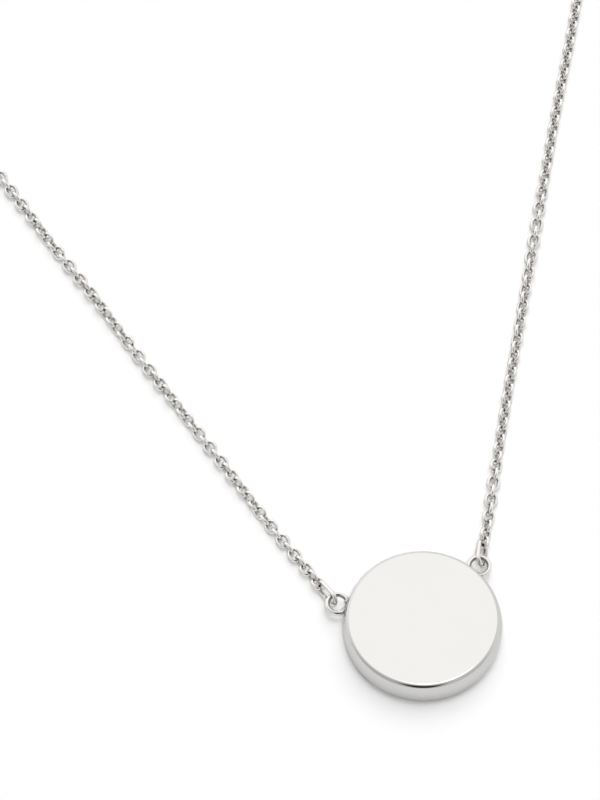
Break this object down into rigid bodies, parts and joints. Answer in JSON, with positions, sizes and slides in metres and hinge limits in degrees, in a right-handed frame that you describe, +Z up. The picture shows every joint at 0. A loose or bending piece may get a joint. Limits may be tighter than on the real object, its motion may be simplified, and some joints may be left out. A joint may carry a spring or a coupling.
{
  "type": "plate necklace",
  "caption": "Thick round polished plate pendant with rim loops and oval end links on a fine cable chain closed by a round clasp, lying flat.",
  "frame": {"origin": "centre of the plate's flat back, on the surface that the necklace lies on", "axes": "+X to the right as seen from above with the clasp away, +Y from the plate towards the clasp, +Z up out of the plate's polished face"},
  "size_m": [0.1086, 0.1931, 0.0033],
  "materials": {
    "polished_plate": "mirror polished silver",
    "link_wire": "polished silver wire",
    "chain_wire": "polished silver wire",
    "clasp_metal": "polished silver"
  },
  "bodies": {
    "root": {"plate": "polished_plate", "left_end_link": "link_wire", "right_end_link": "link_wire", "left_chain": "chain_wire", "right_chain": "chain_wire", "clasp": "clasp_metal", "catch_ring": "link_wire"}
  },
  "joints": []
}
